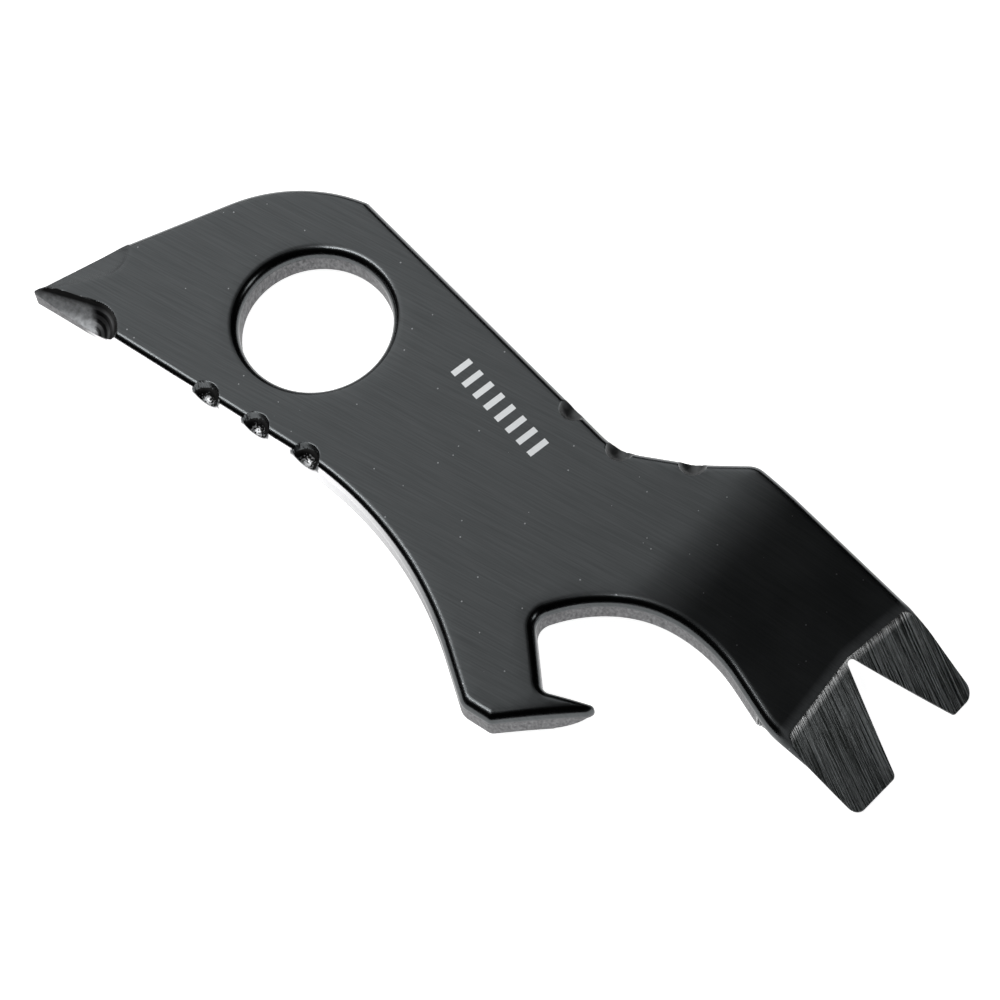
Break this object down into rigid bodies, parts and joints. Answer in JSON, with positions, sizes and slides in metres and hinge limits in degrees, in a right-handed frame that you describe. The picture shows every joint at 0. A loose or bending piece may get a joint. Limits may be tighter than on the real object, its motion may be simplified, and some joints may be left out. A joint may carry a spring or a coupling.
{
  "type": "keychain bottle opener",
  "caption": "Flat steel pocket tool with a ring hole, a hooked cap lifter, a bent prying end with a V-shaped nail slot and a fluted driver point.",
  "frame": {"origin": "centre of the ring hole on the flat underside", "axes": "+X along the straight back edge towards the pry end, +Y towards that back edge, +Z along the ring hole and out of the upper face"},
  "size_m": [0.0659, 0.0295, 0.0077],
  "materials": {
    "steel": "dark satin coating"
  },
  "bodies": {
    "root": {"tool_body": "steel"}
  },
  "joints": []
}
